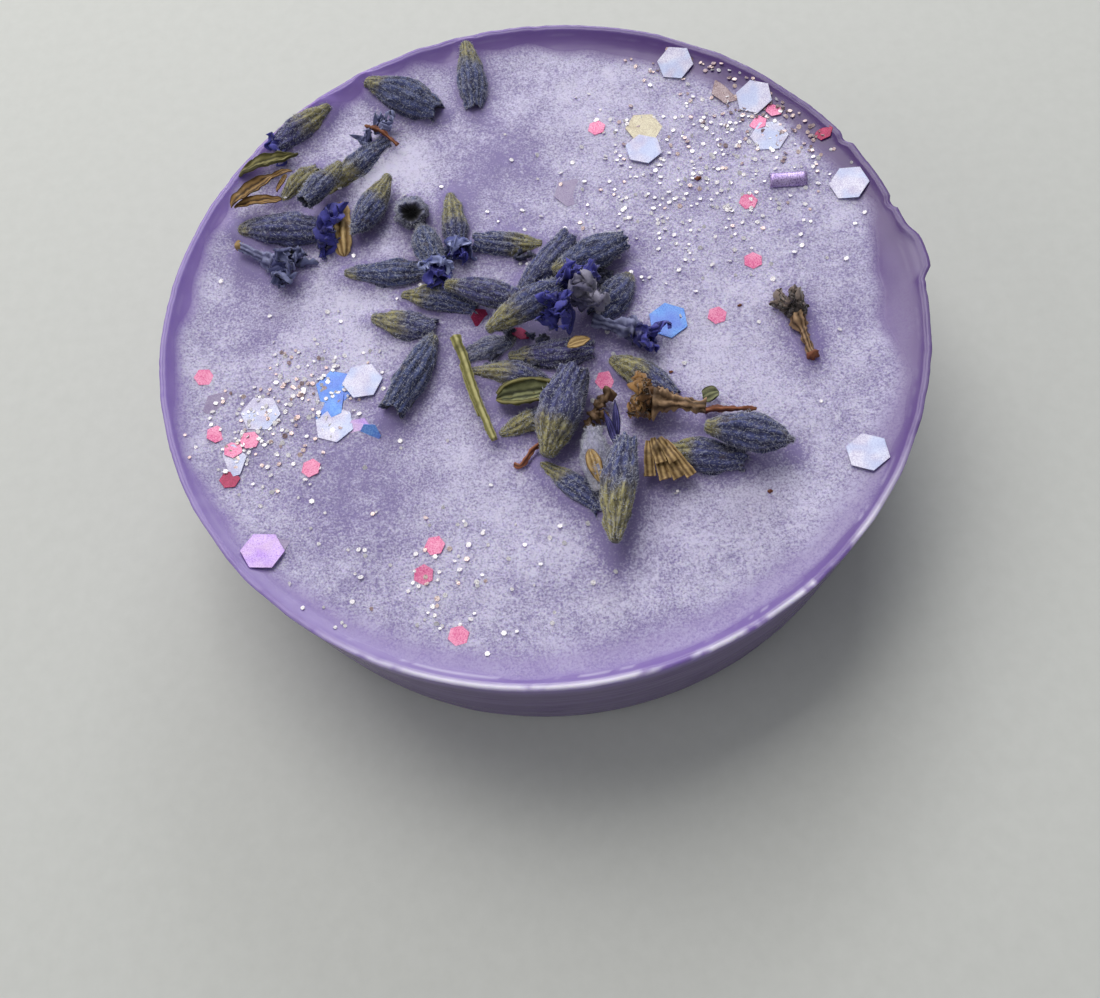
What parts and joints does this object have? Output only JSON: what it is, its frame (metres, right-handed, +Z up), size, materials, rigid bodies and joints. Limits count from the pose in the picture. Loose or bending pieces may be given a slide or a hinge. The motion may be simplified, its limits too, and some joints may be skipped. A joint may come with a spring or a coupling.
{
  "type": "botanical wax melt",
  "caption": "Shallow tapered round of cast lilac wax with a thin raised rim, topped with dried lavender buds, hexagonal foil flakes and fine glitter.",
  "frame": {"origin": "centre of the flat underside", "axes": "+Z up out of the decorated top; +X points to the pour tab on the rim; -Y is the side that faces the viewer"},
  "size_m": [0.0609, 0.06, 0.0188],
  "materials": {
    "lilac_wax": "frosted cast wax, smoother and glossier round the rim and on the side",
    "lavender_calyx": "dried hairy calyx, grey-blue to violet with a yellow-green stalk end",
    "lavender_corolla": "dried crumpled petals, deep blue-violet",
    "green_stem": "dried stem and leaf, yellow-green",
    "brown_husk": "dried papery husk, bract and stalk, brown to amber",
    "white_foil": "iridescent white foil flake",
    "blue_foil": "metallic blue foil flake",
    "gold_foil": "pale gold foil flake",
    "violet_foil": "iridescent violet foil flake",
    "pink_foil": "metallic pink foil flake",
    "silver_foil": "fine silver and rose glitter"
  },
  "bodies": {
    "root": {"wax_body": "lilac_wax", "lavender_bud_01": "lavender_calyx", "lavender_bud_02": "lavender_calyx", "lavender_bud_03": "lavender_calyx", "lavender_bud_04": "lavender_calyx", "lavender_bud_05": "lavender_calyx", "lavender_bud_06": "lavender_calyx", "lavender_bud_07": "lavender_calyx", "lavender_bud_08": "lavender_calyx", "lavender_bud_09": "lavender_calyx", "lavender_bud_10": "lavender_calyx", "lavender_bud_11": "lavender_calyx", "lavender_bud_12": "lavender_calyx", "lavender_bud_13": "lavender_calyx", "lavender_bud_14": "lavender_calyx", "lavender_bud_15": "lavender_calyx", "lavender_bud_16": "lavender_calyx", "lavender_bud_17": "lavender_calyx", "lavender_bud_18": "lavender_calyx", "lavender_bud_19": "lavender_calyx", "lavender_bud_20": "lavender_calyx", "lavender_bud_21": "lavender_calyx", "lavender_bud_22": "lavender_calyx", "lavender_bud_23": "lavender_calyx", "lavender_bud_24": "lavender_calyx", "lavender_bud_25": "lavender_calyx", "lavender_bud_26": "lavender_calyx", "lavender_bud_27": "lavender_calyx", "lavender_bud_28": "lavender_calyx", "lavender_bud_29": "lavender_calyx", "lavender_bud_30": "lavender_calyx", "lavender_bud_31": "lavender_calyx", "lavender_bud_32": "lavender_calyx", "trumpet_floret": "lavender_calyx", "crumpled_corolla": "lavender_corolla", "floret_tube": "lavender_corolla", "flower_stem": "green_stem", "folded_leaf": "green_stem", "papery_bract_02": "green_stem", "papery_bract_01": "brown_husk", "seed_husk": "brown_husk", "bract_sheaf": "brown_husk", "brown_flower": "brown_husk", "brown_floret": "brown_husk", "stalk_01": "brown_husk", "stalk_02": "brown_husk", "hex_flake_01": "white_foil", "hex_flake_02": "white_foil", "hex_flake_03": "white_foil", "hex_flake_04": "gold_foil", "hex_flake_05": "white_foil", "hex_flake_06": "white_foil", "hex_flake_07": "blue_foil", "hex_flake_08": "blue_foil", "hex_flake_09": "white_foil", "hex_flake_10": "white_foil", "hex_flake_11": "white_foil", "hex_flake_12": "violet_foil", "hex_flake_13": "white_foil", "curled_flake": "violet_foil"}
  },
  "joints": []
}
